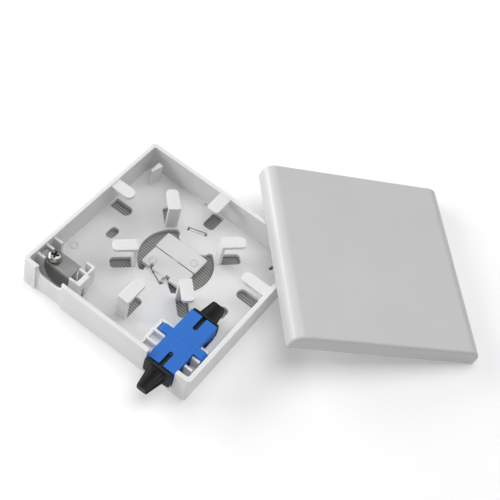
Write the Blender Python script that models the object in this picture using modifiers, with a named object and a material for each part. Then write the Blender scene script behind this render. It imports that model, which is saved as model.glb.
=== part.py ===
"""Fibre termination box: an 86 mm square wall outlet, its cover off and leaning on the tray.

The constants are millimetres and MM turns them into Blender's metres. The tray has X along its
front wall, Y from front to back and Z up from its mounting face. A fibre adapter lies at the
front right, a strength-member clamp at the front left, and the fibre is coiled round the ring posts.
"""

import math

import bmesh
import bpy
from mathutils import Matrix, Vector

MM = 0.001
GAP = 0.3  # clearance kept between neighbouring pieces
OVERCUT = 1.0  # how far a cutter runs past the face it opens
SINK = 0.8  # how deep a rib is rooted in the floor or wall it grows from

# Where the middle of the tray's mounting face lies, so that the whole object stands on the origin.
TRAY_CENTRE = Vector((-40.4, -32.2, 0.0))

# Tray
TRAY = 82.8
TRAY_H = 15.0
WALL = 1.8
FLOOR = 2.0
HALF = TRAY / 2
INNER = HALF - WALL
TRAY_CORNER = 1.6
TONGUE_TOP = 14.7
TONGUE_T = 1.6

# Round opening in the floor, with an ear reaching in from the back and one from the front
HOLE = Vector((-0.6, 7.2))
HOLE_R = 16.2
BACK_EAR = {"half_angle": 35.0, "left": -4.0, "right": 4.6, "edge": 9.3, "corner": 3.2}
FRONT_EAR = {"left_angle": 32.0, "right_angle": 30.5}
FRONT_EAR_LEFT = ((-7.7, -5.6), (-8.3, -4.0), (-8.3, -0.2))
FRONT_EAR_RIGHT = ((1.4, -0.2), (1.4, -1.5), (2.4, -2.4), (3.6, -3.4), (4.4, -4.5), (6.0, -5.8))

# Ring posts: an upright with a tongue that points away from the round opening
POST_IN = 17.3
POST_T = 1.4
POST_W = 5.2
POST_L = 10.3
RING_ANGLES = (45, 135, 225, 315)
LOW_POST_Y = -29.4  # the post in front of the ring stands with its back to the front wall

# Tongues that grow out of the walls
WALL_TONGUE_W = 5.4
LEFT_TONGUE = {"length": 10.0, "y": 12.8}
RIGHT_TONGUE = {"length": 12.0, "y": 13.0}
BACK_TONGUE = {"length": 9.8, "x": -1.4}

# Slots for the two wall screws
SCREW_PITCH = 57.8
SCREW_SLOT_W = 3.9
SCREW_SLOT_L = 6.4

# Cable notch through the front wall, and the shallow recess round it, open at the foot of the wall
NOTCH_LOW = (-34.4, 9.6)
NOTCH_HIGH = (-22.2, TRAY_H + 6.0)
NOTCH_R = 3.2
RECESS_LOW = (-34.9, -2.0)
RECESS_HIGH = (-21.6, TRAY_H + 4.0)
RECESS_T = 0.9

# Fence beside the clamp: two square pockets
FENCE_X = (-22.9, -18.7)
FENCE_Y = (-35.2, -29.2, -24.1)
FENCE_T = 0.9
FENCE_TOP = 12.6
FENCE_WALL = ((-19.2, -35.2), (-17.5, -28.9))  # the first pocket's thick outer wall
FENCE_SLOT_Y = (-33.4, -31.5)  # slot up the thick wall's face, open through the floor
FENCE_SLOT_TOP = 8.0
FENCE_DRAIN = ((-18.5, -33.2), (-17.6, -31.7))

# Snap rib at each back corner, and the cover's pegs that go in between the ribs and the side walls
SNAP_Y = 33.9
SNAP_RIB = ((34.4, 31.0), (33.4, 30.3), (32.0, 35.9), (34.4, 36.5))
SNAP_TOP = 11.6
VENT = ((30.6, 31.0), (32.0, 33.6))  # small slot beside the right rib
BACK_RIB = ((-14.4, 38.6), (-9.8, 40.0))
BACK_RIB_TOP = 2.8
PEG_AT = 36.0
PEG_T = 2.4
PEG_W = 5.0
PEG_REACH = 5.8

# Seat for the adapter: a rail with rungs on its left, and pads under the right ear
RAIL_X = (15.2, 16.4)
RAIL_TOP = 11.6
RUNG_Y = (-35.4, -30.55, -25.15)
RUNG_T = 1.1
RUNG_TOP = 12.2
PAD_TOPS = (7.5, 8.0)
SHELF_TOP = 9.8

# Splice holder
HOLDER_X = (-11.0, 9.6)
HOLDER_Y = (-3.6, 6.0, 15.2)
HOLDER_BASE = FLOOR + GAP
HOLDER_TOP = 4.0
SEAM = 0.6
TAB_T = 0.8
SLIT_W = 1.1  # the slits in the ears, each drawn as a line; the tab's hook goes into the front one
SLIT_TURN = (0.8, 0.9)  # width and length of the short turns at a slit's ends
LIP_T = 0.6
LIP_TOP = 2.6
HOOK_T = 0.5
HOOK_FOOT = 0.5
KEEL_Y = (0.2, 16.2)
RELIEFS = ((-6.6, -5.1, -1.8), (1.5, 3.5, -2.1))  # start, end and depth of the notches beside the tab
BACK_SLIT = (Vector((-7.4, 24.3)), Vector((0.8, 27.2)))
FRONT_SLIT = (Vector((-6.2, -2.3)), Vector((2.0, -6.2)))

# Adapter
ADAPTER = Vector((28.0, -27.3, 8.55))
ADAPTER_W = 12.8
ADAPTER_HT = 9.3
ADAPTER_HALF_L = 13.9
FLANGE_W = 22.2
FLANGE_T = 1.8
FLANGE_CORNER = 2.2
TUNNEL_W = 9.4
TUNNEL_HT = 7.6
KEYWAY_W = 2.0
KEYWAY_L = 7.1
SLEEVE_R = 1.6
SLEEVE_BORE = 1.25
SLEEVE_L = 11.4
NOSE_R = 2.45

# Dust caps
CAP_TUBE_R = 3.15
CAP_TUBE_L = 6.6
CAP_START = 0.5
FRONT_CAP = {"collar_w": 13.0, "collar_ht": 8.8, "collar_t": 1.3, "grip_l": 9.2, "tip": 0.62}
REAR_CAP = {"collar_w": 12.8, "collar_ht": 9.0, "collar_t": 0.9, "grip_l": 9.2, "tip": 0.76}
GRIP_W = 8.4
GRIP_HT = 6.0

# Strength-member clamp: plate, washer and screw
PLATE_TOP = 12.0
PLATE_T = 0.8
PLATE_X = (-39.2, -23.2)
PLATE_Y = (-35.1, -27.3)
FLANGE_FOOT = 2.0 + GAP
PRONGS = ((-35.1, -33.9, -35.8), (-29.6, -28.5, -36.0), (-25.1, -24.0, -35.6))  # Y from, Y to, X reach
PRONG_TOP = 13.3
TONGUE_Y = (-33.6, -29.9)  # the plate's left end, between the first two prongs
TONGUE_ROOT = -35.4
CLAMP_SCREW = Vector((-33.3, -31.6))
SCREW_R = 1.5
HEAD_R = 2.95
HEAD_HT = 1.9
WASHER_R = 3.0
WASHER_T = 0.5
SHANK_L = 8.0

# Cover
COVER = 86.0
COVER_HT = 8.0
COVER_WALL = 1.4
COVER_TOP = 1.6
ROLL_R = 5.4
EDGE_R = 1.2
COVER_NOTCHES = (("adapter_notch", 28.0, 15.0, 5.4), ("cable_notch", -28.7, 12.8, 4.2))
COVER_YAW = 42.94
COVER_AT = Vector((62.1, 56.4))

SMOOTH_ANGLE = math.radians(35)


# ---------------------------------------------------------------- scene and materials

def clear_scene():
    for obj in list(bpy.data.objects):
        bpy.data.objects.remove(obj, do_unlink=True)


def new_collection(name):
    group = bpy.data.collections.new(name)
    bpy.context.scene.collection.children.link(group)
    return group


def material(name, colour, roughness, metallic=0.0):
    mat = bpy.data.materials.new(name)
    mat.use_nodes = True
    shader = mat.node_tree.nodes["Principled BSDF"]
    shader.inputs["Base Color"].default_value = (*colour, 1.0)
    shader.inputs["Roughness"].default_value = roughness
    shader.inputs["Metallic"].default_value = metallic
    return mat


def empty(name, location, parent=None, rotation=(0.0, 0.0, 0.0)):
    obj = bpy.data.objects.new(name, None)
    bpy.context.scene.collection.objects.link(obj)
    obj.empty_display_size = 0.01
    obj.parent = parent
    obj.location = Vector(location) * MM
    obj.rotation_euler = rotation
    return obj


# ---------------------------------------------------------------- shape helpers (millimetres)

def add_object(name, mesh, group, parent, mat=None, smooth=False):
    obj = bpy.data.objects.new(name, mesh)
    group.objects.link(obj)
    obj.parent = parent
    if mat:
        mesh.materials.append(mat)
    if smooth:
        mesh.shade_smooth()
        mesh.set_sharp_from_angle(angle=SMOOTH_ANGLE)
    return obj


def mesh_from(name, bm):
    bmesh.ops.scale(bm, vec=(MM, MM, MM), verts=bm.verts)
    mesh = bpy.data.meshes.new(name)
    bm.to_mesh(mesh)
    bm.free()
    return mesh


def blocks(name, boxes):
    """A mesh of boxes, each given by its low and high corner."""
    bm = bmesh.new()
    for low, high in boxes:
        made = bmesh.ops.create_cube(bm, size=1.0)
        size = Vector(high) - Vector(low)
        middle = (Vector(high) + Vector(low)) / 2
        bmesh.ops.scale(bm, vec=size, verts=made["verts"])
        bmesh.ops.translate(bm, vec=middle, verts=made["verts"])
    return mesh_from(name, bm)


def prism(name, outlines, low, high, turn=None):
    """Flat outlines filled and thickened from low to high along Z, then turned by a matrix."""
    curve = bpy.data.curves.new(name, "CURVE")
    curve.dimensions = "2D"
    curve.fill_mode = "BOTH"
    curve.extrude = (high - low) / 2 * MM
    for outline in outlines:
        spline = curve.splines.new("POLY")
        spline.points.add(len(outline) - 1)
        spline.use_cyclic_u = True
        for point, (x, y) in zip(spline.points, outline):
            point.co = (x * MM, y * MM, 0.0, 1.0)
    obj = bpy.data.objects.new(name, curve)
    bpy.context.scene.collection.objects.link(obj)
    bpy.context.view_layer.update()
    evaluated = obj.evaluated_get(bpy.context.evaluated_depsgraph_get())
    mesh = bpy.data.meshes.new_from_object(evaluated)
    mesh.name = name
    bm = bmesh.new()
    bm.from_mesh(mesh)
    bmesh.ops.remove_doubles(bm, verts=bm.verts, dist=0.000001)
    bmesh.ops.translate(bm, vec=(0.0, 0.0, (high + low) / 2 * MM), verts=bm.verts)
    if turn:
        bmesh.ops.transform(bm, matrix=turn, verts=bm.verts)
    bmesh.ops.recalc_face_normals(bm, faces=bm.faces)
    bm.to_mesh(mesh)
    bm.free()
    bpy.data.objects.remove(obj, do_unlink=True)
    bpy.data.curves.remove(curve)
    return mesh


def turned(name, profile, group, parent, mat, steps=28):
    """A solid turned round Z from a profile that runs down its outer side at +X."""
    bm = bmesh.new()
    verts = [bm.verts.new((x, 0.0, z)) for x, z in profile]
    for first, second in zip(verts, verts[1:]):
        bm.edges.new((first, second))
    if profile[0][0] > 0.0:
        bm.edges.new((verts[-1], verts[0]))
    obj = add_object(name, mesh_from(name, bm), group, parent, mat)
    screw = obj.modifiers.new("Turn", "SCREW")
    screw.steps = steps
    screw.render_steps = steps
    screw.use_merge_vertices = True
    screw.merge_threshold = 0.00001
    screw.use_smooth_shade = True
    return obj


def boolean(obj, other, operation):
    modifier = obj.modifiers.new(operation.title(), "BOOLEAN")
    modifier.operation = operation
    modifier.solver = "EXACT"
    if isinstance(other, bpy.types.Collection):
        modifier.operand_type = "COLLECTION"
        modifier.collection = other
    else:
        modifier.object = other


def guide(name, mesh, group, parent):
    """A cutter, or a rib that a Boolean joins to its part; it isn't a part of its own."""
    obj = add_object(name, mesh, group, parent)
    obj.hide_render = True
    obj.display_type = "WIRE"
    return obj


def arc(centre, radius, start, end, count):
    """Points on an arc, angles in degrees, both ends included."""
    angles = [math.radians(start + (end - start) * i / count) for i in range(count + 1)]
    return [(centre[0] + radius * math.cos(a), centre[1] + radius * math.sin(a)) for a in angles]


def rounded_rectangle(low, high, radius, count=4):
    (x0, y0), (x1, y1) = low, high
    corners = [
        ((x1 - radius, y1 - radius), 0),
        ((x0 + radius, y1 - radius), 90),
        ((x0 + radius, y0 + radius), 180),
        ((x1 - radius, y0 + radius), 270),
    ]
    points = []
    for centre, start in corners:
        points += arc(centre, radius, start, start + 90, count)
    return points


def strip(start, end, width):
    """A straight strip of that width along the line from start to end."""
    side = (end - start).normalized().orthogonal() * width / 2
    return [tuple(start + side), tuple(start - side), tuple(end - side), tuple(end + side)]


def slit_outline(start, end):
    """A slit along a line, its two ends turned towards the middle of the round opening."""
    along = (end - start).normalized()
    inward = along.orthogonal()
    if inward.dot(HOLE - start) < 0:
        inward.negate()
    length, half = (end - start).length, SLIT_W / 2
    width, reach = SLIT_TURN
    shape = [(0, -half), (length, -half), (length, half + reach), (length - width, half + reach)]
    shape += [(length - width, half), (width, half), (width, half + reach), (0, half + reach)]
    return [tuple(start + along * a + inward * b) for a, b in shape]


def tongue(inner, outer, width, radius, angle, centre=(0.0, 0.0)):
    """A bar from inner to outer along an angle, its two far corners rounded."""
    half = width / 2
    bar = [(inner, -half)]
    bar += arc((outer - radius, -half + radius), radius, -90, 0, 4)
    bar += arc((outer - radius, half - radius), radius, 0, 90, 4)
    bar.append((inner, half))
    turn = Matrix.Rotation(math.radians(angle), 2)
    return [tuple(turn @ Vector(p) + Vector(centre)) for p in bar]


TURN_Y = Matrix.Rotation(math.radians(90), 4, "X")  # a prism that ran along Z runs along -Y
TURN_BACK = Matrix.Rotation(math.radians(-90), 4, "X")  # a prism that ran along Z runs along +Y


# ---------------------------------------------------------------- tray

def hole_outline():
    """The round opening's edge, anticlockwise, stepping in at the back and front ears."""
    points = arc(HOLE, HOLE_R, -90 + FRONT_EAR["right_angle"], 90 - BACK_EAR["half_angle"], 16)
    corner = BACK_EAR["corner"]
    middle_y = HOLE.y + BACK_EAR["edge"] + corner
    points += arc((HOLE.x + BACK_EAR["right"], middle_y), corner, 0, -90, 4)
    points += arc((HOLE.x + BACK_EAR["left"], middle_y), corner, -90, -180, 4)
    points += arc(HOLE, HOLE_R, 90 + BACK_EAR["half_angle"], 270 - FRONT_EAR["left_angle"], 16)
    return points + [*FRONT_EAR_LEFT, *FRONT_EAR_RIGHT]


def ring_bars(start, end):
    """Outlines of the five ring posts' tongues, from start to end of the tongue's length."""
    bars = [tongue(POST_IN + start, POST_IN + end, POST_W, 1.6, angle, HOLE) for angle in RING_ANGLES]
    foot = LOW_POST_Y
    bars.append(tongue(foot + start, foot + end + 1.6, POST_W, 1.6, 90, (HOLE.x, 0.0)))
    return bars


def wall_bars(root):
    """The wall tongues' outlines; root is how far from the tray's middle they start."""
    bars = []
    for spec, angle, radius in ((LEFT_TONGUE, 0, 2.4), (RIGHT_TONGUE, 180, 2.4), (BACK_TONGUE, 270, 1.6)):
        middle = (spec.get("x", 0.0), spec.get("y", 0.0))
        bars.append(tongue(-root, spec["length"] - INNER, WALL_TONGUE_W, radius, angle, middle))
    return bars


def screw_slots():
    slots = []
    for side in (-1, 1):
        x = side * SCREW_PITCH / 2
        low = (x - SCREW_SLOT_W / 2, -SCREW_SLOT_L / 2)
        high = (x + SCREW_SLOT_W / 2, SCREW_SLOT_L / 2)
        slots.append(rounded_rectangle(low, high, 1.8))
    return slots


def tray_cutters(group, frame):
    cavity = rounded_rectangle((-INNER, -INNER), (INNER, INNER), 0.9, 3)
    guide("cut_inside", prism("cut_inside", [cavity], FLOOR, TRAY_H + OVERCUT), group, frame)
    floor = [hole_outline()] + ring_bars(POST_T, POST_L) + wall_bars(INNER - 0.6)
    floor += screw_slots() + [slit_outline(*BACK_SLIT), slit_outline(*FRONT_SLIT)]
    floor.append(rounded_rectangle(*VENT, 0.6))
    floor.append(rounded_rectangle(*FENCE_DRAIN, 0.2))
    guide("cut_floor", prism("cut_floor", floor, -OVERCUT, FLOOR + 0.5), group, frame)
    opening_w = ADAPTER_W / 2 + 0.4
    opening = (
        (ADAPTER.x - opening_w, -HALF - OVERCUT, ADAPTER.z - ADAPTER_HT / 2 - GAP),
        (ADAPTER.x + opening_w, -INNER + OVERCUT, TRAY_H + OVERCUT),
    )
    guide("cut_adapter_opening", blocks("cut_adapter_opening", [opening]), group, frame)
    notch = rounded_rectangle(NOTCH_LOW, NOTCH_HIGH, NOTCH_R, 6)
    mesh = prism("cut_cable_notch", [notch], INNER - OVERCUT, HALF + OVERCUT, TURN_Y)
    guide("cut_cable_notch", mesh, group, frame)
    recess = rounded_rectangle(RECESS_LOW, RECESS_HIGH, 1.0, 3)
    mesh = prism("cut_notch_recess", [recess], HALF - RECESS_T, HALF + OVERCUT, TURN_Y)
    guide("cut_notch_recess", mesh, group, frame)


def fence_ribs():
    """Two square pockets, open towards the clamp plate, that hold its right end and the cable tie."""
    (x0, x1), (y0, y1, y2) = FENCE_X, FENCE_Y
    low = FLOOR - SINK
    return [
        ((x0, y0, low), (x1 - FENCE_T, y0 + FENCE_T, FENCE_TOP)),
        ((x0, y1, low), (x1 - FENCE_T, y1 + FENCE_T, FENCE_TOP)),
        ((x0, y2 - FENCE_T, low), (x1 - FENCE_T, y2, FENCE_TOP)),
    ]


def clamp_ribs():
    """Prongs on the left wall that hold the clamp plate's tongue, and the rests under the plate."""
    low = FLOOR - SINK
    rest_top = PLATE_TOP - PLATE_T - GAP
    prongs = [((-INNER - SINK, y0, low), (reach, y1, PRONG_TOP)) for y0, y1, reach in PRONGS]
    rests = [
        ((-INNER - SINK, -32.8, low), (-36.6, -30.4, rest_top)),
        ((-26.4, -33.6, low), (-24.2, -28.2, rest_top)),
    ]
    return prongs + rests


def adapter_ribs():
    """Rungs before and behind the adapter's flange, and the rests under its body."""
    low = FLOOR - SINK
    left = ADAPTER.x - ADAPTER_W / 2 - GAP
    right = ADAPTER.x + ADAPTER_W / 2 + GAP
    rests_top = ADAPTER.z - ADAPTER_HT / 2 - GAP
    ribs = []
    for y in RUNG_Y:
        ribs.append(((RAIL_X[0] + 0.5, y, low), (left, y + RUNG_T, RUNG_TOP)))
        ribs.append(((right, y, low), (38.3, y + RUNG_T, RUNG_TOP)))
    ribs.append(((left + 1.0, -17.0, low), (right - 1.0, -15.8, rests_top)))
    return ribs


def tray_ribs(group, frame):
    low = FLOOR - SINK
    uprights = [tongue(POST_IN, POST_IN + POST_T, POST_W, 0.2, angle, HOLE) for angle in RING_ANGLES]
    uprights.append(tongue(LOW_POST_Y, LOW_POST_Y + POST_T, POST_W, 0.2, 90, (HOLE.x, 0.0)))
    guide("ring_posts", prism("ring_posts", uprights, low, TONGUE_TOP), group, frame)
    bars = ring_bars(POST_T / 2, POST_L)
    guide("ring_tongues", prism("ring_tongues", bars, TONGUE_TOP - TONGUE_T, TONGUE_TOP), group, frame)
    bars = wall_bars(INNER + SINK)
    guide("wall_tongues", prism("wall_tongues", bars, TONGUE_TOP - TONGUE_T, TONGUE_TOP), group, frame)
    guide("fence_ribs", blocks("fence_ribs", fence_ribs()), group, frame)
    back = ((FENCE_X[1] - FENCE_T, FENCE_Y[0], low), (FENCE_X[1], FENCE_Y[2], FENCE_TOP))
    guide("fence_back", blocks("fence_back", [back]), group, frame)
    (x0, y0), (x1, y1) = FENCE_WALL
    slot_y0, slot_y1 = FENCE_SLOT_Y
    upper = ((x0, y0, FENCE_SLOT_TOP), (x1, y1, FENCE_TOP))
    guide("fence_wall", blocks("fence_wall", [upper]), group, frame)
    legs = [((x0, a, low), (x1, b, FENCE_SLOT_TOP + SINK)) for a, b in ((y0, slot_y0), (slot_y1, y1))]
    guide("fence_legs", blocks("fence_legs", legs), group, frame)
    guide("clamp_ribs", blocks("clamp_ribs", clamp_ribs()), group, frame)
    guide("adapter_ribs", blocks("adapter_ribs", adapter_ribs()), group, frame)
    rail = ((RAIL_X[0], -INNER - SINK, low), (RAIL_X[1], RUNG_Y[2] + RUNG_T, RAIL_TOP))
    guide("adapter_rail", blocks("adapter_rail", [rail]), group, frame)
    shelf_end = ADAPTER.x - ADAPTER_W / 2 - GAP
    shelf = ((RAIL_X[0] + 0.6, -INNER - SINK, low), (shelf_end, RUNG_Y[1] + RUNG_T / 2, SHELF_TOP))
    guide("adapter_shelf", blocks("adapter_shelf", [shelf]), group, frame)
    left, right = ADAPTER.x + ADAPTER_W / 2 + 0.8, INNER + SINK
    flange = FLANGE_T + 2 * GAP
    pads = [
        ((left, -INNER - SINK, low), (right, ADAPTER.y - flange, PAD_TOPS[0])),
        ((left, ADAPTER.y + flange, low), (right, -13.4, PAD_TOPS[1])),
    ]
    guide("adapter_pads", blocks("adapter_pads", pads), group, frame)
    snaps = [[(side * x, y) for x, y in SNAP_RIB] for side in (-1, 1)]
    guide("snap_ribs", prism("snap_ribs", snaps, low, SNAP_TOP), group, frame)
    (x0, y0), (x1, y1) = BACK_RIB
    guide("back_rib", blocks("back_rib", [((x0, y0, low), (x1, y1, BACK_RIB_TOP))]), group, frame)
    start, end = BACK_SLIT
    forward = (end - start).normalized().orthogonal() * (SLIT_W + LIP_T) / 2
    if forward.y > 0:
        forward.negate()
    along = (end - start).normalized() * (SLIT_TURN[0] + GAP)
    lip = strip(start + forward + along, end + forward - along, LIP_T)
    guide("slit_lip", prism("slit_lip", [lip], low, LIP_TOP), group, frame)


def make_tray(parts, frame, plastic):
    cuts = new_collection("tray_cutters")
    ribs = new_collection("tray_ribs")
    tray_cutters(cuts, frame)
    tray_ribs(ribs, frame)
    outline = rounded_rectangle((-HALF, -HALF), (HALF, HALF), TRAY_CORNER)
    tray = add_object("tray", prism("tray", [outline], 0.0, TRAY_H), parts, frame, plastic)
    boolean(tray, cuts, "DIFFERENCE")
    boolean(tray, ribs, "UNION")


# ---------------------------------------------------------------- splice holder

def hooked_tab(near_y, trim, group, parent):
    """A tab that slopes from the plates down to the front slit, and the hook that goes down into it."""
    start, end = FRONT_SLIT
    along = (end - start).normalized()
    first, last = start + along * trim[0], end - along * trim[1]
    outward = along.orthogonal() * HOOK_T / 2
    if outward.y > 0:
        outward.negate()
    outline = [(first.x, near_y), tuple(first + outward), tuple(last + outward), (last.x, near_y)]
    mesh = prism("holder_tab", [outline], HOLDER_BASE, HOLDER_TOP)
    for vertex in mesh.vertices:
        if vertex.co.z > (HOLDER_TOP - 0.1) * MM and abs(vertex.co.y / MM - near_y) > 0.01:
            vertex.co.z = (HOLDER_BASE + TAB_T) * MM
    guide("holder_tab", mesh, group, parent)
    mesh = prism("holder_hook", [strip(first, last, HOOK_T)], HOOK_FOOT, HOLDER_BASE + TAB_T / 2)
    guide("holder_hook", mesh, group, parent)


def make_splice_holder(parts, frame, plastic):
    """Two plates joined by a web and a keel between the ears, with a hooked tab over the front ear."""
    pieces = new_collection("holder_pieces")
    (x0, x1), (y0, y1, y2) = HOLDER_X, HOLDER_Y
    first = rounded_rectangle((x0, y1 + SEAM / 2), (x1, y2), 0.8, 3)
    second = rounded_rectangle((x0 + 0.4, y0), (x1, y1 - SEAM / 2), 0.8, 3)
    mesh = prism("holder_plate", [second], HOLDER_BASE, HOLDER_TOP)
    guide("holder_plate", mesh, pieces, frame)
    web = ((HOLE.x - 1.4, y1 - SEAM, HOLDER_BASE), (HOLE.x + 1.4, y1 + SEAM, HOLDER_TOP - 0.4))
    guide("holder_web", blocks("holder_web", [web]), pieces, frame)
    hooked_tab(y0 + 0.4, (3.2, 1.1), pieces, frame)
    keel = ((HOLE.x - 4.0, KEEL_Y[0], 0.6), (HOLE.x + 4.0, KEEL_Y[1], HOLDER_BASE + 0.1))
    guide("holder_keel", blocks("holder_keel", [keel]), pieces, frame)
    mesh = prism("splice_holder", [first], HOLDER_BASE, HOLDER_TOP)
    holder = add_object("splice_holder", mesh, parts, frame, plastic)
    boolean(holder, pieces, "UNION")
    notches = [((start, y0 - 1.0, 0.0), (end, depth, HOLDER_TOP + OVERCUT)) for start, end, depth in RELIEFS]
    reliefs = new_collection("holder_reliefs")
    guide("cut_reliefs", blocks("cut_reliefs", notches), reliefs, frame)
    boolean(holder, reliefs, "DIFFERENCE")


# ---------------------------------------------------------------- clamp

def make_clamp(parts, frame, sheet, plated):
    (x0, x1), (y0, y1) = PLATE_X, PLATE_Y
    inner, outer = 0.3, 0.3 + PLATE_T
    bend = (y0 + outer, PLATE_TOP - outer)
    profile = [(y1, PLATE_TOP)]
    profile += arc(bend, outer, 90, 180, 4)
    profile += [(y0, FLANGE_FOOT), (y0 + PLATE_T, FLANGE_FOOT)]
    profile += arc(bend, inner, 180, 90, 2)
    profile.append((y1, PLATE_TOP - PLATE_T))
    along_x = Matrix(((0, 0, 1, 0), (1, 0, 0, 0), (0, 1, 0, 0), (0, 0, 0, 1)))
    mesh = prism("clamp_bracket", [profile], x0, x1, along_x)
    bracket = add_object("clamp_bracket", mesh, parts, frame, sheet)
    cuts = new_collection("clamp_cutters")
    bore = arc(CLAMP_SCREW, SCREW_R + GAP, 0, 345, 23)
    mesh = prism("cut_plate", [bore], PLATE_TOP - PLATE_T - OVERCUT, PLATE_TOP + OVERCUT)
    guide("cut_plate", mesh, cuts, frame)
    notches = [
        ((x0 - OVERCUT, y0 - OVERCUT, 0.0), (TONGUE_ROOT, TONGUE_Y[0], PLATE_TOP + OVERCUT)),
        ((x0 - OVERCUT, TONGUE_Y[1], 0.0), (TONGUE_ROOT, y1 + OVERCUT, PLATE_TOP + OVERCUT)),
    ]
    guide("cut_plate_notches", blocks("cut_plate_notches", notches), cuts, frame)
    foot = []
    radius = 6.0
    for side, x in ((-1, TONGUE_ROOT), (1, x1)):
        corner = (x - side * radius, FLANGE_FOOT + radius)
        start = 180 if side < 0 else 360
        waste = arc(corner, radius, start, 270, 8)
        waste += [(corner[0], FLANGE_FOOT - 2), (x + side * 2, FLANGE_FOOT - 2), (x + side * 2, corner[1])]
        foot.append(waste)
    mesh = prism("cut_flange", foot, -y0 - PLATE_T - OVERCUT, -y0 + OVERCUT, TURN_Y)
    guide("cut_flange", mesh, cuts, frame)
    boolean(bracket, cuts, "DIFFERENCE")

    axis = empty("clamp_axis", (CLAMP_SCREW.x, CLAMP_SCREW.y, PLATE_TOP + GAP), frame)
    ring = [(WASHER_R, WASHER_T), (WASHER_R, 0.0), (SCREW_R + GAP, 0.0), (SCREW_R + GAP, WASHER_T)]
    turned("clamp_washer", ring, parts, axis, plated)
    seat = WASHER_T + GAP
    head = [(0.0, seat + HEAD_HT)]
    head += [(x, seat + z) for x, z in ((1.6, HEAD_HT - 0.1), (2.3, HEAD_HT - 0.45), (2.65, HEAD_HT - 0.95))]
    head += [(HEAD_R, seat + 0.3), (HEAD_R - 0.15, seat), (SCREW_R, seat)]
    head += [(SCREW_R, seat - SHANK_L + 0.5), (SCREW_R - 0.5, seat - SHANK_L), (0.0, seat - SHANK_L)]
    screw = turned("clamp_screw", head, parts, axis, plated)
    cross = new_collection("screw_cutters")
    for name, x, y in (("cut_slot_x", 1.7, 0.4), ("cut_slot_y", 0.4, 1.7)):
        slot = ((-x, -y, seat + 0.6), (x, y, seat + HEAD_HT + OVERCUT))
        guide(name, blocks(name, [slot]), cross, axis)
    boolean(screw, cross, "DIFFERENCE")


# ---------------------------------------------------------------- adapter

def make_shell_half(side, parts, axis, plastic):
    """One half of the housing; it runs along +Y from the joint to its open end."""
    cuts = new_collection("shell_cutters_" + side)
    half_w, half_ht = ADAPTER_W / 2, ADAPTER_HT / 2
    joint = GAP / 2
    outline = [(-FLANGE_W / 2, joint), (FLANGE_W / 2, joint), (FLANGE_W / 2, joint + FLANGE_T)]
    outline += [(half_w, joint + FLANGE_T), (half_w, ADAPTER_HALF_L), (-half_w, ADAPTER_HALF_L)]
    outline += [(-half_w, joint + FLANGE_T), (-FLANGE_W / 2, joint + FLANGE_T)]
    name = "adapter_shell_" + side
    shell = add_object(name, prism(name, [outline], -half_ht, half_ht), parts, axis, plastic)
    tunnel = (
        (-TUNNEL_W / 2, -OVERCUT, -TUNNEL_HT / 2),
        (TUNNEL_W / 2, ADAPTER_HALF_L + OVERCUT, TUNNEL_HT / 2),
    )
    guide("cut_tunnel_" + side, blocks("cut_tunnel", [tunnel]), cuts, axis)
    keyway = tongue(-ADAPTER_HALF_L - OVERCUT, KEYWAY_L - ADAPTER_HALF_L, KEYWAY_W, 0.95, 270)
    mesh = prism("cut_keyway", [keyway], half_ht - 1.6, half_ht + OVERCUT)
    guide("cut_keyway_" + side, mesh, cuts, axis)
    holes = [arc((x, 0.0), 1.15, 0, 330, 11) for x in (-9.0, 9.0)]
    mesh = prism("cut_ear_holes", holes, -FLANGE_T - OVERCUT, OVERCUT, TURN_Y)
    guide("cut_ear_holes_" + side, mesh, cuts, axis)
    corners = []
    for sx, sz, start in ((1, 1, 0), (-1, 1, 90), (-1, -1, 180), (1, -1, 270)):
        x, z = sx * (FLANGE_W / 2 - FLANGE_CORNER), sz * (half_ht - FLANGE_CORNER)
        far = (x + sx * (FLANGE_CORNER + OVERCUT), z + sz * (FLANGE_CORNER + OVERCUT))
        waste = arc((x, z), FLANGE_CORNER, start, start + 90, 5)
        last = (x, far[1]) if start in (0, 180) else (far[0], z)
        first = (far[0], z) if start in (0, 180) else (x, far[1])
        corners.append([*waste, last, far, first])
    mesh = prism("cut_ear_corners", corners, -FLANGE_T - 0.6, OVERCUT, TURN_Y)
    guide("cut_ear_corners_" + side, mesh, cuts, axis)
    depth = 0.7
    pockets = []
    for x in (-half_w, half_w):
        low = (x - depth, joint + FLANGE_T + 0.4, -half_ht - OVERCUT)
        pockets.append((low, (x + depth, joint + FLANGE_T + 6.4, 0.6)))
    guide("cut_pockets_" + side, blocks("cut_pockets", pockets), cuts, axis)
    boolean(shell, cuts, "DIFFERENCE")


def make_insert(side, parts, axis, plastic):
    """Sleeve holder with two latch arms, inside one half of the housing."""
    pieces = new_collection("insert_pieces_" + side)
    joint = GAP / 2
    plate_t = 1.4
    half_w, half_ht = TUNNEL_W / 2 - GAP, TUNNEL_HT / 2 - GAP
    outline = rounded_rectangle((-half_w, -half_ht), (half_w, half_ht), 0.5, 2)
    bore = arc((0, 0), SLEEVE_R + GAP, 0, 345, 23)
    name = "adapter_insert_" + side
    mesh = prism(name, [outline, bore], joint, joint + plate_t, TURN_BACK)
    insert = add_object(name, mesh, parts, axis, plastic)
    nose = [arc((0, 0), NOSE_R, 0, 345, 23), bore]
    mesh = prism("nose", nose, joint + plate_t - 0.3, 8.0, TURN_BACK)
    guide("nose_" + side, mesh, pieces, axis)
    for place, sign in (("left", -1), ("right", 1)):
        outer = TUNNEL_W / 2 - 0.35
        inner = outer - 0.6
        arm = [(outer, 1.2), (outer, 9.2), (inner - 0.15, 8.4), (inner - 0.15, 7.9)]
        arm += [(inner, 7.6), (inner, 1.2)]
        arm = [(sign * x, y) for x, y in arm]
        guide("arm_" + place + side, prism("arm", [arm], -1.6, 1.6), pieces, axis)
    boolean(insert, pieces, "UNION")


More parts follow.
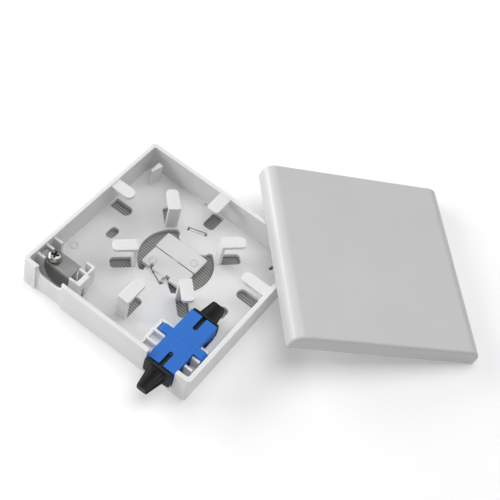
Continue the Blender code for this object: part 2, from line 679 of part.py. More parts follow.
def grip_outline(width, height, ridges=18, depth=0.3, count=4):
    """A soft rectangle with ridges round it."""
    points = []
    total = ridges * count
    for i in range(total):
        angle = 2 * math.pi * i / total
        c, s = math.cos(angle), math.sin(angle)
        power = 5.0
        reach = (abs(c / (width / 2)) ** power + abs(s / (height / 2)) ** power) ** (-1 / power)
        reach -= depth * (0.5 + 0.5 * math.cos(ridges * angle))
        points.append((reach * c, reach * s))
    return points


def make_dust_cap(side, spec, parts, axis, rubber):
    """Tube that slips over the sleeve holder, collar, and a ridged grip that tapers to its tip."""
    pieces = new_collection("cap_pieces_" + side)
    start = ADAPTER_HALF_L + CAP_START
    end = start + spec["collar_t"]
    half_w, half_ht = spec["collar_w"] / 2, spec["collar_ht"] / 2
    collar = rounded_rectangle((-half_w, -half_ht), (half_w, half_ht), 1.0, 3)
    name = "dust_cap_" + side
    cap = add_object(name, prism(name, [collar], start, end, TURN_BACK), parts, axis, rubber)
    tube = [arc((0, 0), CAP_TUBE_R, 0, 345, 23), arc((0, 0), NOSE_R + GAP, 0, 345, 23)]
    mesh = prism("tube", tube, ADAPTER_HALF_L - CAP_TUBE_L, start + 0.4, TURN_BACK)
    guide("tube_" + side, mesh, pieces, axis)
    grip = prism("grip", [grip_outline(GRIP_W, GRIP_HT)], end - 0.4, end + spec["grip_l"], TURN_BACK)
    for vertex in grip.vertices:
        along = (vertex.co.y / MM - end) / spec["grip_l"]
        scale = 1.0 + (spec["tip"] - 1.0) * max(0.0, along)
        vertex.co.x *= scale
        vertex.co.z *= scale
    guide("grip_" + side, grip, pieces, axis)
    boolean(cap, pieces, "UNION")


def make_adapter(parts, frame, blue, ivory, ceramic, rubber):
    centre = empty("adapter_axis", ADAPTER, frame)
    for side, spec, yaw in (("front", FRONT_CAP, 180.0), ("rear", REAR_CAP, 0.0)):
        axis = empty("adapter_" + side, (0, 0, 0), centre, (0.0, 0.0, math.radians(yaw)))
        make_shell_half(side, parts, axis, blue)
        make_insert(side, parts, axis, ivory)
        make_dust_cap(side, spec, parts, axis, rubber)
    gap = 6.0  # the split along the sleeve, in degrees either side of straight down
    ring = arc((0, 0), SLEEVE_R, -90 + gap, 270 - gap, 22)
    ring += arc((0, 0), SLEEVE_BORE, 270 - gap, -90 + gap, 22)
    mesh = prism("adapter_sleeve", [ring], -SLEEVE_L / 2, SLEEVE_L / 2, TURN_Y)
    add_object("adapter_sleeve", mesh, parts, centre, ceramic)


# ---------------------------------------------------------------- cover

def rolled_block(name, size, low, high, roll, edge):
    """A block whose left and right top edges are rolled; the outlines of its ends are only eased."""
    half = size / 2
    profile = [(-half, low), (half, low)]
    profile += arc((half - roll, high - roll), roll, 0, 90, 8)
    profile += arc((roll - half, high - roll), roll, 90, 180, 8)
    mesh = prism(name, [profile], -half, half, TURN_Y)
    bm = bmesh.new()
    bm.from_mesh(mesh)
    for side in (-1, 1):
        end = [f for f in bm.faces if f.normal.y * side > 0.99]
        bmesh.ops.dissolve_faces(bm, faces=end)
    outline = []
    for e in bm.edges:
        at_end = any(abs(f.normal.y) > 0.99 for f in e.link_faces)
        if at_end and max(v.co.z for v in e.verts) > (low + 0.1) * MM:
            outline.append(e)
    bmesh.ops.bevel(bm, geom=outline, offset=edge * MM, segments=3, profile=0.5, affect="EDGES")
    bm.to_mesh(mesh)
    bm.free()
    return mesh


def make_cover(parts, frame, plastic):
    reach = COVER - COVER_WALL
    tilt = math.asin((TRAY_H + GAP) / reach)
    height = COVER / 2 * math.sin(tilt)
    pose = empty("cover_pose", (COVER_AT.x, COVER_AT.y, height), frame)
    pose.rotation_euler = (0.0, tilt, math.radians(COVER_YAW))
    mesh = rolled_block("cover", COVER, 0.0, COVER_HT, ROLL_R, EDGE_R)
    cover = add_object("cover", mesh, parts, pose, plastic)
    ceiling = COVER_HT - COVER_TOP
    cuts = new_collection("cover_cutters")
    inside = COVER - 2 * COVER_WALL
    mesh = rolled_block("cut_cover_inside", inside, -OVERCUT, ceiling, ROLL_R - COVER_WALL, 0.4)
    guide("cut_cover_inside", mesh, cuts, pose)
    skirt = (COVER / 2 - COVER_WALL - OVERCUT, COVER / 2 + OVERCUT)
    for name, y, width, top in COVER_NOTCHES:
        notch = ((skirt[0], y - width / 2, -OVERCUT), (skirt[1], y + width / 2, top))
        guide("cut_" + name, blocks(name, [notch]), cuts, pose)
    boolean(cover, cuts, "DIFFERENCE")
    pegs = new_collection("cover_pegs")
    for side in (-1, 1):
        low = (-SNAP_Y - PEG_W / 2, side * PEG_AT - PEG_T / 2, -PEG_REACH)
        high = (-SNAP_Y + PEG_W / 2, side * PEG_AT + PEG_T / 2, ceiling + SINK)
        guide("cover_peg", blocks("cover_peg", [(low, high)]), pegs, pose)
    boolean(cover, pegs, "UNION")


def main():
    clear_scene()
    parts = new_collection("fiber_termination_box")
    frame = empty("box_frame", TRAY_CENTRE)
    tray_white = material("tray_white", (0.72, 0.72, 0.73), 0.45)
    cover_white = material("cover_white", (0.78, 0.78, 0.78), 0.4)
    blue = material("adapter_blue", (0.035, 0.16, 0.62), 0.35)
    ivory = material("insert_ivory", (0.75, 0.72, 0.62), 0.4)
    ceramic = material("sleeve_ceramic", (0.85, 0.84, 0.8), 0.2)
    rubber = material("cap_black", (0.018, 0.018, 0.018), 0.55)
    sheet = material("clamp_sheet", (0.45, 0.44, 0.43), 0.35, 1.0)
    plated = material("screw_plated", (0.6, 0.6, 0.6), 0.22, 1.0)
    make_tray(parts, frame, tray_white)
    make_splice_holder(parts, frame, tray_white)
    make_clamp(parts, frame, sheet, plated)
    make_adapter(parts, frame, blue, ivory, ceramic, rubber)
    make_cover(parts, frame, cover_white)


main()
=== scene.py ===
"""Looks of the fiber termination box: materials, fine detail, light, floor and camera."""

import math

import bmesh
import bpy
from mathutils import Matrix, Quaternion, Vector


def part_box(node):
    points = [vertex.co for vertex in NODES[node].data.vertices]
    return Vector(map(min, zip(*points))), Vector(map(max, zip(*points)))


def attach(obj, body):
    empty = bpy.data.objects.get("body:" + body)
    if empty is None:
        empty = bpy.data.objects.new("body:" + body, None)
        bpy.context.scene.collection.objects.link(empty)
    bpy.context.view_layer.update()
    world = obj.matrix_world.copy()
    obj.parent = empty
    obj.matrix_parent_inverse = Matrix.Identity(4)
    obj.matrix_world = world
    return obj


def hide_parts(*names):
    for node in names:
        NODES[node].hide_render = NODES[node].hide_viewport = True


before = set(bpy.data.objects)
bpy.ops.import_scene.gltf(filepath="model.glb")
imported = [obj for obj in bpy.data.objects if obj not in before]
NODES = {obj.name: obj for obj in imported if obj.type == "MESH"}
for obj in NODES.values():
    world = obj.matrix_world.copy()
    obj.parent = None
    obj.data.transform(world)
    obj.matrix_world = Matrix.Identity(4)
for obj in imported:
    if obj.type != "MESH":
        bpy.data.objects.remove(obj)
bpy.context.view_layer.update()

MM = 0.001
TRAY_LOW, TRAY_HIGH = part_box("tray")
TRAY = Vector(((TRAY_LOW.x + TRAY_HIGH.x) / 2, (TRAY_LOW.y + TRAY_HIGH.y) / 2, 0.0))


def place(x, y, z):
    """A point given in millimetres from the middle of the tray's mounting face."""
    return TRAY + Vector((x, y, z)) * MM


def frame_box(node):
    """A CAD node's box in millimetres round the tray's middle."""
    low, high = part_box(node)
    return (low - TRAY) / MM, (high - TRAY) / MM


# ---------------------------------------------------------------- node helpers

# the Mix node's colour sockets have the same names as its other ones, so they go by number
MIX_FACTOR, MIX_FIRST, MIX_SECOND, MIX_RESULT = 0, 6, 7, 2


class Graph:
    """A material's node tree, with its Principled shader."""

    def __init__(self, name):
        self.material = bpy.data.materials.new(name)
        self.material.use_nodes = True
        self.tree = self.material.node_tree
        self.shader = self.tree.nodes["Principled BSDF"]

    def add(self, kind, **settings):
        """A node, with each setting put on its socket or, where it has none, on the node."""
        node = self.tree.nodes.new(kind)
        for key, value in settings.items():
            if key in node.inputs:
                node.inputs[key].default_value = value
            else:
                setattr(node, key, value)
        return node

    def link(self, source, target):
        self.tree.links.new(source, target)

    def coords(self):
        return self.add("ShaderNodeTexCoord").outputs["Object"]

    def noise(self, scale, detail=2.0, roughness=0.5):
        node = self.add("ShaderNodeTexNoise", Scale=scale, Detail=detail, Roughness=roughness)
        self.link(self.coords(), node.inputs["Vector"])
        return node.outputs["Fac"]

    def spread(self, value, low, high, start=0.3, end=0.7):
        """value mapped from start..end to low..high."""
        node = self.add("ShaderNodeMapRange")
        for key, number in (("From Min", start), ("From Max", end), ("To Min", low), ("To Max", high)):
            node.inputs[key].default_value = number
        self.link(value, node.inputs["Value"])
        return node.outputs["Result"]

    def blend(self, factor, first, second):
        node = self.add("ShaderNodeMix", data_type="RGBA")
        self.link(factor, node.inputs[MIX_FACTOR])
        node.inputs[MIX_FIRST].default_value = (*first, 1.0)
        node.inputs[MIX_SECOND].default_value = (*second, 1.0)
        return node.outputs[MIX_RESULT]

    def bump(self, heights):
        """Bumps stacked on one another: each is (height, strength, distance)."""
        normal = None
        for height, strength, distance in heights:
            node = self.add("ShaderNodeBump", Strength=strength, Distance=distance)
            self.link(height, node.inputs["Height"])
            if normal:
                self.link(normal, node.inputs["Normal"])
            normal = node.outputs["Normal"]
        self.link(normal, self.shader.inputs["Normal"])

    def set(self, **values):
        for key, value in values.items():
            self.shader.inputs[key.replace("_", " ")].default_value = value


# ---------------------------------------------------------------- materials

PLASTIC_DRIFT = 38.0
PLASTIC_POLISH = 90.0
METAL_DRIFT = 160.0
FINE_BUMP = 0.00004
WIDE_BUMP = 0.0001
DRAWN_BUMP = 0.00003
GLOW_SPREAD = (1.0, 0.95, 0.9)


def plastic(name, colour, shade, roughness, grain, strength, gloss=0.5, depth=0.0):
    """Moulded plastic: fine spark texture, slow colour drift, slightly uneven gloss."""
    graph = Graph(name)
    drift = graph.spread(graph.noise(PLASTIC_DRIFT, 3.0), 0.0, 1.0)
    graph.link(graph.blend(drift, colour, shade), graph.shader.inputs["Base Color"])
    polish = graph.spread(graph.noise(PLASTIC_POLISH, 2.0), roughness - 0.05, roughness + 0.05)
    graph.link(polish, graph.shader.inputs["Roughness"])
    fine = graph.noise(grain, 3.0, 0.6)
    wide = graph.noise(grain / 7.0, 2.0)
    graph.bump([(fine, strength, FINE_BUMP), (wide, strength * 0.5, WIDE_BUMP)])
    graph.set(IOR=1.5, Specular_IOR_Level=gloss)
    if depth:
        graph.set(Subsurface_Weight=0.6, Subsurface_Scale=depth, Subsurface_Radius=GLOW_SPREAD)
    return graph.material


def metal(name, colour, shade, roughness, stretch):
    """Plated steel with fine drawn lines along one axis."""
    graph = Graph(name)
    mapping = graph.add("ShaderNodeMapping")
    mapping.inputs["Scale"].default_value = stretch
    graph.link(graph.coords(), mapping.inputs["Vector"])
    lines = graph.add("ShaderNodeTexNoise", Scale=1.0, Detail=4.0, Roughness=0.6)
    graph.link(mapping.outputs["Vector"], lines.inputs["Vector"])
    drift = graph.spread(graph.noise(METAL_DRIFT, 3.0), 0.0, 1.0)
    graph.link(graph.blend(drift, colour, shade), graph.shader.inputs["Base Color"])
    polish = graph.spread(lines.outputs["Fac"], roughness - 0.07, roughness + 0.1)
    graph.link(polish, graph.shader.inputs["Roughness"])
    graph.bump([(lines.outputs["Fac"], 0.25, DRAWN_BUMP)])
    graph.set(Metallic=1.0)
    return graph.material


SHEET_LINES = (300.0, 6000.0, 6000.0)
TURNED_LINES = (5000.0, 5000.0, 900.0)

TRAY_WHITE = plastic(
    "tray_white", (0.76, 0.76, 0.762), (0.73, 0.73, 0.732),
    roughness=0.42, grain=5200.0, strength=0.18, depth=0.0015)
HOLDER_WHITE = plastic(
    "holder_white", (0.69, 0.69, 0.69), (0.65, 0.65, 0.65),
    roughness=0.45, grain=5200.0, strength=0.18, depth=0.001)
COVER_WHITE = plastic(
    "cover_white", (0.58, 0.58, 0.58), (0.56, 0.56, 0.56),
    roughness=0.36, grain=6000.0, strength=0.12)
BLUE = plastic(
    "adapter_blue", (0.026, 0.16, 0.57), (0.022, 0.14, 0.52),
    roughness=0.45, grain=4200.0, strength=0.15, gloss=0.2)
IVORY = plastic(
    "insert_ivory", (0.75, 0.72, 0.62), (0.7, 0.66, 0.55),
    roughness=0.4, grain=4200.0, strength=0.15)
CERAMIC = plastic(
    "sleeve_ceramic", (0.85, 0.84, 0.8), (0.82, 0.8, 0.76),
    roughness=0.18, grain=9000.0, strength=0.03)
BLACK = plastic(
    "cap_black", (0.012, 0.012, 0.012), (0.018, 0.018, 0.018),
    roughness=0.5, grain=3800.0, strength=0.3, gloss=0.25)
SHEET = metal("clamp_sheet", (0.34, 0.337, 0.33), (0.27, 0.268, 0.26), 0.45, SHEET_LINES)
PLATED = metal("screw_plated", (0.48, 0.47, 0.46), (0.4, 0.39, 0.38), 0.3, TURNED_LINES)
# painted shade: the cross recess's cut faces get a near-black steel so the recess looks shaded
PAINTED_SHADE_RECESS = metal("screw_recess_painted_shade", (0.09, 0.085, 0.08), (0.06, 0.058, 0.055), 0.5, TURNED_LINES)

FINISHES = {
    "tray": TRAY_WHITE, "splice_holder": HOLDER_WHITE, "cover": COVER_WHITE,
    "adapter_shell_front": BLUE, "adapter_shell_rear": BLUE,
    "adapter_insert_front": IVORY, "adapter_insert_rear": IVORY, "adapter_sleeve": CERAMIC,
    "dust_cap_front": BLACK, "dust_cap_rear": BLACK,
    "clamp_bracket": SHEET, "clamp_washer": PLATED, "clamp_screw": PLATED,
}


def paint(obj, mat):
    obj.data.materials.clear()
    obj.data.materials.append(mat)


# ---------------------------------------------------------------- modifiers on carried-over parts

WELD_WITHIN = 0.000002
FLAT_WITHIN = math.radians(0.5)
BEVEL_SEGMENTS = 2


def soften(node, width, angle=40.0):
    """Eases a CAD part's edges by width, in millimetres; its mesh isn't changed."""
    obj = NODES[node]
    weld = obj.modifiers.new("Weld", "WELD")
    weld.merge_threshold = WELD_WITHIN
    flat = obj.modifiers.new("Flat", "DECIMATE")
    flat.decimate_type = "DISSOLVE"
    flat.angle_limit = FLAT_WITHIN
    bevel = obj.modifiers.new("Edges", "BEVEL")
    bevel.width = width * MM
    bevel.segments = BEVEL_SEGMENTS
    bevel.limit_method = "ANGLE"
    bevel.angle_limit = math.radians(angle)
    bevel.use_clamp_overlap = True


def finish_parts():
    """Materials on every CAD part, and eased edges on those whose edges show."""
    for node, finish in FINISHES.items():
        paint(NODES[node], finish)
    soften("tray", 0.25)
    soften("splice_holder", 0.3)
    soften("cover", 0.25, 50.0)
    for side in ("front", "rear"):
        soften("adapter_shell_" + side, 0.15)
    soften("clamp_bracket", 0.1)


# ---------------------------------------------------------------- mesh helpers

SHARP_ANGLE = math.radians(35)
ROUND_STEPS = 48


def add_object(name, bm):
    """An object made from a mesh under construction, linked to the scene."""
    mesh = bpy.data.meshes.new(name)
    bm.to_mesh(mesh)
    bm.free()
    obj = bpy.data.objects.new(name, mesh)
    bpy.context.scene.collection.objects.link(obj)
    return obj


def to_scene(bm):
    """Turns a mesh in millimetres round the tray's middle into one in the scene's metres."""
    bmesh.ops.recalc_face_normals(bm, faces=bm.faces)
    bmesh.ops.scale(bm, vec=(MM, MM, MM), verts=bm.verts)
    bmesh.ops.translate(bm, vec=TRAY, verts=bm.verts)


def shade(mesh):
    mesh.shade_smooth()
    mesh.set_sharp_from_angle(angle=SHARP_ANGLE)


def piece(name, bm, mat, body, smooth=True):
    """A new piece from a mesh in millimetres round the tray's middle, riding on a body."""
    to_scene(bm)
    obj = add_object(name, bm)
    obj.data.materials.append(mat)
    if smooth:
        shade(obj.data)
    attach(obj, body)
    return obj


def bridge(bm, first, second):
    """A band of faces between two loops of vertices."""
    for i in range(len(first)):
        j = (i + 1) % len(first)
        bm.faces.new((first[i], first[j], second[j], second[i]))


def fill_tower(bm, loops):
    """Faces between successive loops, with both ends filled."""
    for first, second in zip(loops, loops[1:]):
        bridge(bm, first, second)
    bm.faces.new(loops[0])
    bm.faces.new(reversed(loops[-1]))


def fill_ring(bm, loops):
    """Faces between successive loops and from the last one back to the first."""
    for first, second in zip(loops, loops[1:] + loops[:1]):
        bridge(bm, first, second)


def circle(bm, x, y, z, radius, steps):
    """A level loop of vertices."""
    loop = []
    for i in range(steps):
        a = 2 * math.pi * i / steps
        loop.append(bm.verts.new((x + radius * math.cos(a), y + radius * math.sin(a), z)))
    return loop


# ---------------------------------------------------------------- ejector-pin marks

MARK_RADIUS = 1.8
MARK_WIDTH = 0.4
MARK_HEIGHT = 0.1
MARK_SINK = 0.05
MARK_STEPS = 40
MARKS = (
    ("ejector_mark_floor", -36.2, -15.8, 2.0, TRAY_WHITE),
    ("ejector_mark_plate_back", 6.2, 10.1, 4.0, HOLDER_WHITE),
    ("ejector_mark_plate_front", -7.2, -0.2, 4.0, HOLDER_WHITE),
)


def make_mark(name, x, y, z, mat):
    """A round witness mark left by an ejector pin: a low ring standing on a face."""
    inner = MARK_RADIUS - MARK_WIDTH
    profile = (
        (MARK_RADIUS, -MARK_SINK), (MARK_RADIUS, MARK_HEIGHT * 0.6),
        (MARK_RADIUS - MARK_WIDTH * 0.3, MARK_HEIGHT), (MARK_RADIUS - MARK_WIDTH * 0.7, MARK_HEIGHT),
        (inner, MARK_HEIGHT * 0.6), (inner, -MARK_SINK),
    )
    bm = bmesh.new()
    fill_ring(bm, [circle(bm, x, y, z + dz, radius, MARK_STEPS) for radius, dz in profile])
    piece(name, bm, mat, "tray")


# ---------------------------------------------------------------- weld bead

FLANGE_CORNER = 2.2
CORNER_STEPS = 6
BEAD_SINK = 0.05
BEAD_CLEARANCE = 0.3
CORNERS = ((1, 1), (-1, 1), (-1, -1), (1, -1))


def make_seam():
    """The welded joint between the adapter's halves: a bead that fills the gap almost to the surface."""
    low, high = frame_box("adapter_shell_front")
    rear_low, _ = frame_box("adapter_shell_rear")
    inner_low, inner_high = frame_box("adapter_insert_front")
    middle_x, middle_z = (low.x + high.x) / 2, (low.z + high.z) / 2
    half_w = (inner_high.x - inner_low.x) / 2 + BEAD_CLEARANCE
    half_ht = (inner_high.z - inner_low.z) / 2 + BEAD_CLEARANCE
    reach = FLANGE_CORNER - BEAD_SINK
    outer = []
    bore = []
    for quarter, (side_x, side_z) in enumerate(CORNERS):
        turn_x = (high.x if side_x > 0 else low.x) - side_x * FLANGE_CORNER
        turn_z = (high.z if side_z > 0 else low.z) - side_z * FLANGE_CORNER
        for step in range(CORNER_STEPS + 1):
            a = math.pi / 2 * (quarter + step / CORNER_STEPS)
            outer.append((turn_x + reach * math.cos(a), turn_z + reach * math.sin(a)))
            bore.append((middle_x + side_x * half_w, middle_z + side_z * half_ht))
    bm = bmesh.new()
    loops = []
    for outline, y in ((outer, high.y), (outer, rear_low.y), (bore, rear_low.y), (bore, high.y)):
        loops.append([bm.verts.new((x, y, z)) for x, z in outline])
    fill_ring(bm, loops)
    bmesh.ops.remove_doubles(bm, verts=bm.verts, dist=0.0001)
    piece("adapter_weld_bead", bm, BLUE, "adapter", smooth=False)


# ---------------------------------------------------------------- dust caps

CAP_RIDGES = 18
STEPS_PER_RIDGE = 8
GRIP_HALF = (4.2, 3.0)
GRIP_LEVELS = 7
RIDGE_DEPTH = 0.5
COLLAR_START = 0.5
COLLAR_ROUND = 0.15
TUBE_INNER = 2.75
TUBE_OUTER = 3.15
TUBE_ROOT = 0.6
TUBE_REACH = 6.6
TUBE_CHAMFER = 0.1


def cap_ring(angle, half_w, half_ht, depth, power=5.0):
    """A point on a soft rectangle with sharp grooves cut round it."""
    c, s = math.cos(angle), math.sin(angle)
    reach = (abs(c / half_w) ** power + abs(s / half_ht) ** power) ** (-1 / power)
    groove = 0.5 + 0.5 * math.cos(CAP_RIDGES * angle)
    return reach - depth * groove ** 0.7, c, s


def make_cap_tube(side, body, centre_x, centre_z, mouth, sign):
    """The tube that slides over the adapter's sleeve holder."""
    profile = (
        (TUBE_INNER, TUBE_ROOT), (TUBE_OUTER, TUBE_ROOT), (TUBE_OUTER, TUBE_CHAMFER - TUBE_REACH),
        (TUBE_OUTER - TUBE_CHAMFER, -TUBE_REACH), (TUBE_INNER + TUBE_CHAMFER, -TUBE_REACH),
        (TUBE_INNER, TUBE_CHAMFER - TUBE_REACH),
    )
    bm = bmesh.new()
    loops = []
    for radius, along in profile:
        ring = []
        for i in range(ROUND_STEPS):
            a = 2 * math.pi * i / ROUND_STEPS
            at = (centre_x + radius * math.cos(a), mouth + sign * along, centre_z + radius * math.sin(a))
            ring.append(bm.verts.new(at))
        loops.append(ring)
    fill_ring(bm, loops)
    piece("cap_tube_" + side, bm, BLACK, body)


def make_cap(side, body, tip, collar_end, sign):
    """A dust cap's visible shape: lip, collar and a grip with deep ridges that tapers to tip, a share."""
    low, high = frame_box("dust_cap_" + side)
    shell_low, shell_high = frame_box("adapter_shell_" + side)
    centre_x, centre_z = (low.x + high.x) / 2, (low.z + high.z) / 2
    half_w, half_ht = (high.x - low.x) / 2, (high.z - low.z) / 2
    mouth = shell_low.y if sign < 0 else shell_high.y
    end = low.y if sign < 0 else high.y
    total = abs(end - mouth)
    bm = bmesh.new()
    loops = []
    steps = CAP_RIDGES * STEPS_PER_RIDGE

    def loop(along, shape):
        ring = []
        for i in range(steps):
            radius, c, s = shape(2 * math.pi * i / steps)
            ring.append(bm.verts.new((centre_x + radius * c, mouth + sign * along, centre_z + radius * s)))
        loops.append(ring)

    def collar(scale):
        return lambda a: cap_ring(a, half_w * scale, half_ht * scale, 0.0, 9.0)

    def grip(scale, depth):
        return lambda a: cap_ring(a, GRIP_HALF[0] * scale, GRIP_HALF[1] * scale, depth)

    loop(COLLAR_START, collar(0.55))
    loop(COLLAR_START, collar(0.97))
    loop(COLLAR_START + COLLAR_ROUND, collar(1.0))
    loop(collar_end - COLLAR_ROUND, collar(1.0))
    loop(collar_end, collar(0.97))
    loop(collar_end, grip(1.0, 0.0))
    loop(collar_end + 0.25, grip(0.99, 0.1))
    for i in range(GRIP_LEVELS):
        share = i / (GRIP_LEVELS - 1)
        along = collar_end + 0.6 + (total - collar_end - 1.0) * share
        loop(along, grip(0.985 + (tip - 1.0) * share, RIDGE_DEPTH * (1.0 - 0.35 * share)))
    loop(total - 0.12, grip(tip * 0.93, 0.28))
    loop(total, grip(tip * 0.84, 0.18))
    fill_tower(bm, loops)
    cap = piece("cap_" + side, bm, BLACK, body)
    make_cap_tube(side, body, centre_x, centre_z, mouth, sign)
    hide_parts("dust_cap_" + side)


# ---------------------------------------------------------------- clamp screw

HEAD_RADIUS = 2.95
HEAD_LIFT = 0.3
HEAD_RIM = 0.24
HEAD_CROWN = 0.42
HEAD_CURVE_STEPS = 8
CROSS_TURN = math.radians(20.0)
CROSS_DEPTH = 1.25
CROSS_CLEAR = 0.4
CROSS_TOP_HALF = (1.95, 0.56)
CROSS_BOTTOM_HALF = (0.75, 0.34)
CUT_SLOT = 1
THREAD_PITCH = 0.5
THREAD_RADIUS = 1.5
THREAD_DEPTH = 0.28
THREAD_STEPS = 24
THREAD_RINGS_PER_TURN = 8
THREAD_INTO_HEAD = 0.2
TIP_LENGTH = 0.8
TIP_TAPER = 0.35


def head_profile(height):
    """Radii and heights up the pan head, from the middle of its base to the middle of its top."""
    profile = [
        (0.0, 0.0), (HEAD_RADIUS * 0.93, 0.0), (HEAD_RADIUS, height * 0.1), (HEAD_RADIUS, height * HEAD_RIM),
    ]
    for i in range(1, HEAD_CURVE_STEPS + 1):
        a = math.pi / 2 * i / HEAD_CURVE_STEPS
        radius = HEAD_RADIUS * (HEAD_CROWN + (1 - HEAD_CROWN) * math.cos(a))
        profile.append((radius, height * (HEAD_RIM + (1 - HEAD_RIM) * math.sin(a))))
    profile.append((0.0, height))
    return profile


def screw_head(centre, base, top):
    """The pan head's outline turned round its axis."""
    bm = bmesh.new()
    loops = []
    for radius, z in head_profile(top - base):
        if radius == 0.0:
            loops.append([bm.verts.new((centre.x, centre.y, base + z))])
        else:
            loops.append(circle(bm, centre.x, centre.y, base + z, radius, ROUND_STEPS))
    for first, second in zip(loops, loops[1:]):
        for i in range(ROUND_STEPS):
            j = (i + 1) % ROUND_STEPS
            if len(first) == 1:
                bm.faces.new((first[0], second[j], second[i]))
            elif len(second) == 1:
                bm.faces.new((first[i], first[j], second[0]))
            else:
                bm.faces.new((first[i], first[j], second[j], second[i]))
    return bm


def cross_recess(centre, top):
    """Two crossed wedges that narrow downwards: the shape of the driver's tip."""
    bm = bmesh.new()
    ends = ((top + CROSS_CLEAR, CROSS_TOP_HALF), (top - CROSS_DEPTH, CROSS_BOTTOM_HALF))
    for turn in (CROSS_TURN, CROSS_TURN + math.pi / 2):
        across = Vector((math.cos(turn), math.sin(turn), 0.0))
        beside = Vector((-across.y, across.x, 0.0))
        corners = []
        for z, (length, width) in ends:
            at = Vector((centre.x, centre.y, z))
            corners.append([bm.verts.new(at + across * length * sx + beside * width * sy)
                            for sx, sy in ((-1, -1), (1, -1), (1, 1), (-1, 1))])
        fill_tower(bm, corners)
    return bm


def subtract(obj, bm, name, mat):
    """Cuts a closed shape, in millimetres round the tray's middle, out of a piece; the cut faces get mat."""
    for face in bm.faces:
        face.material_index = CUT_SLOT
    to_scene(bm)
    cutter = add_object(name, bm)
    obj.data.materials.append(mat)
    # the cutter needs a slot 1 too, so it gets the material twice
    cutter.data.materials.append(mat)
    cutter.data.materials.append(mat)
    modifier = obj.modifiers.new("Cut", "BOOLEAN")
    modifier.operation = "DIFFERENCE"
    modifier.solver = "EXACT"
    modifier.use_self = True
    modifier.object = cutter
    bpy.context.view_layer.update()
    evaluated = obj.evaluated_get(bpy.context.evaluated_depsgraph_get())
    result = bpy.data.meshes.new_from_object(evaluated)
    obj.modifiers.remove(modifier)
    obj.data = result
    shade(result)
    bpy.data.objects.remove(cutter, do_unlink=True)


def screw_thread(centre, bottom, top):
    """The shank with its thread, which tapers over the last part to the tip."""
    bm = bmesh.new()
    length = top - bottom
    count = int(length / THREAD_PITCH * THREAD_RINGS_PER_TURN)
    loops = []
    for k in range(count + 1):
        z = top - length * k / count
        taper = min(1.0, (z - bottom) / TIP_LENGTH * TIP_TAPER + (1 - TIP_TAPER))
        loop = []
        for i in range(THREAD_STEPS):
            a = 2 * math.pi * i / THREAD_STEPS
            phase = (z / THREAD_PITCH + i / THREAD_STEPS) % 1.0
            r = (THREAD_RADIUS - THREAD_DEPTH * abs(2.0 * phase - 1.0)) * taper
            loop.append(bm.verts.new((centre.x + r * math.cos(a), centre.y + r * math.sin(a), z)))
        loops.append(loop)
    fill_tower(bm, loops)
    return bm


def make_screw():
    """The clamp screw with its cross recess, and its threaded shank."""
    low, high = frame_box("clamp_screw")
    _, washer_high = frame_box("clamp_washer")
    centre = (low + high) / 2
    base = washer_high.z + HEAD_LIFT
    head = piece("screw_head", screw_head(centre, base, high.z), PLATED, "screw")
    # the recess's cut faces take the near-black steel, painted shade of the recess
    subtract(head, cross_recess(centre, high.z), "driver", PAINTED_SHADE_RECESS)
    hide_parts("clamp_screw")
    thread = screw_thread(centre, low.z, base + THREAD_INTO_HEAD)
    piece("screw_thread", thread, PLATED, "screw")


# ---------------------------------------------------------------- floor, light and camera

WHITE = (1.0, 1.0, 1.0, 1.0)
FLOOR_HALF = 1.2
FLOOR_DROP = -0.0004
CARD_HALF = 0.040
CARD_DROP = -0.2
CARD_TURN = math.radians(93.0)
CARD_RIBS = 270.0
LIGHT_AIM = (20, 28, 0)
# name, place from the aim in metres, width in metres, power in watts
LIGHTS = (
    ("key", (-0.85, -0.55, 0.42), 0.5, 4.7),
    ("side", (-1.0, 0.0, 0.45), 0.5, 4.3),
    ("top", (-0.05, 0.1, 1.0), 1.0, 4.4),
    ("back", (0.3, 0.6, 0.8), 0.9, 3.0),
    ("front", (0.45, -0.7, 0.7), 0.7, 1.3),
    ("low", (-1.0, 0.1, 0.14), 0.3, 1.5),
)
SURROUND = 0.14
CAMERA_AIM = (21.24, 27.87, 10.0)
CAMERA_DISTANCE = 468.6
CAMERA_ANGLES = (20.655, 53.262, 18.681)
CAMERA_LENS = 81.05
CAMERA_SENSOR = 36.0


def flat_square(name, half, segments):
    """A flat square sheet."""
    bm = bmesh.new()
    bmesh.ops.create_grid(bm, x_segments=segments, y_segments=segments, size=half)
    return add_object(name, bm)


def make_floor():
    floor = flat_square("floor", FLOOR_HALF, 2)
    graph = Graph("floor_white")
    speck = graph.spread(graph.noise(60.0, 2.0), 0.0, 1.0)
    graph.link(graph.blend(speck, (0.79, 0.79, 0.79), (0.81, 0.81, 0.81)), graph.shader.inputs["Base Color"])
    graph.set(Roughness=0.8, Emission_Strength=0.22, Emission_Color=WHITE)
    floor.data.materials.append(graph.material)
    floor.location.z = FLOOR_DROP


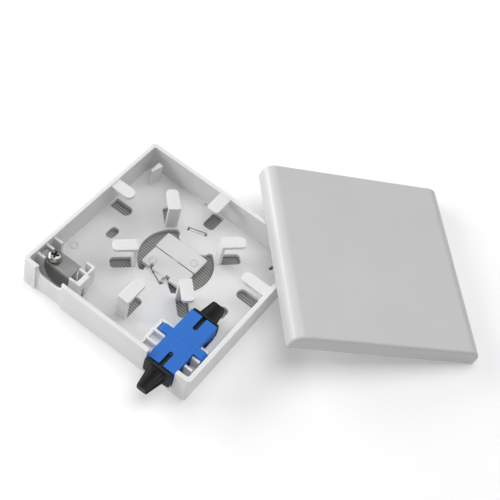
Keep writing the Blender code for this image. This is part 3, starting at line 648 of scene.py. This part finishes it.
def make_card():
    """A grey sheet under the tray, seen only through the openings in its floor. It stands for the ribbed
    surface under the tray; its grey is partly painted shade of the gap beneath the tray, and its stripes are
    painted shading of ribs on a flat sheet.
    """
    card = flat_square("card", CARD_HALF, 1)
    card.location = place(0, 0, CARD_DROP)
    graph = Graph("card_grey_painted_shade")
    mapping = graph.add("ShaderNodeMapping")
    mapping.inputs["Rotation"].default_value = (0.0, 0.0, CARD_TURN)
    graph.link(graph.coords(), mapping.inputs["Vector"])
    ribs = graph.add("ShaderNodeTexWave", Scale=CARD_RIBS, Distortion=0.6, Detail=1.0)
    graph.link(mapping.outputs["Vector"], ribs.inputs["Vector"])
    # dark and light bands: painted shading of the ribs, drawn on a flat sheet
    colour = graph.blend(ribs.outputs["Fac"], (0.17, 0.166, 0.16), (0.42, 0.415, 0.405))
    graph.link(colour, graph.shader.inputs["Base Color"])
    graph.set(Roughness=0.9)
    card.data.materials.append(graph.material)


def area_light(name, location, target, size, power):
    data = bpy.data.lights.new(name, "AREA")
    data.shape = "DISK"
    data.size = size
    data.energy = power
    light = bpy.data.objects.new(name, data)
    bpy.context.scene.collection.objects.link(light)
    light.location = location
    light.rotation_mode = "QUATERNION"
    light.rotation_quaternion = (target - location).to_track_quat("-Z", "Y")


def make_light():
    bpy.context.scene.view_settings.view_transform = "Standard"
    middle = place(*LIGHT_AIM)
    for name, offset, size, power in LIGHTS:
        area_light(name, middle + Vector(offset), middle, size, power)
    world = bpy.data.worlds.new("studio")
    world.use_nodes = True
    background = world.node_tree.nodes["Background"]
    background.inputs["Color"].default_value = WHITE
    background.inputs["Strength"].default_value = SURROUND
    bpy.context.scene.world = world


def make_camera():
    """The camera at the photograph's viewing angle; its angles are azimuth, elevation and roll."""
    azimuth, elevation, roll = (math.radians(a) for a in CAMERA_ANGLES)
    data = bpy.data.cameras.new("camera")
    data.lens = CAMERA_LENS
    data.sensor_width = CAMERA_SENSOR
    camera = bpy.data.objects.new("camera", data)
    bpy.context.scene.collection.objects.link(camera)
    flat = math.cos(elevation)
    back = Vector((math.sin(azimuth) * flat, -math.cos(azimuth) * flat, math.sin(elevation)))
    camera.location = place(*CAMERA_AIM) + back * CAMERA_DISTANCE * MM
    camera.rotation_mode = "QUATERNION"
    camera.rotation_quaternion = back.to_track_quat("Z", "Y") @ Quaternion((0, 0, 1), roll)
    bpy.context.scene.camera = camera


finish_parts()
make_seam()
make_cap("front", "front_cap", tip=0.62, collar_end=1.8, sign=-1)
make_cap("rear", "rear_cap", tip=0.76, collar_end=1.4, sign=1)
for mark in MARKS:
    make_mark(*mark)
make_screw()
make_floor()
make_card()
make_light()
make_camera()
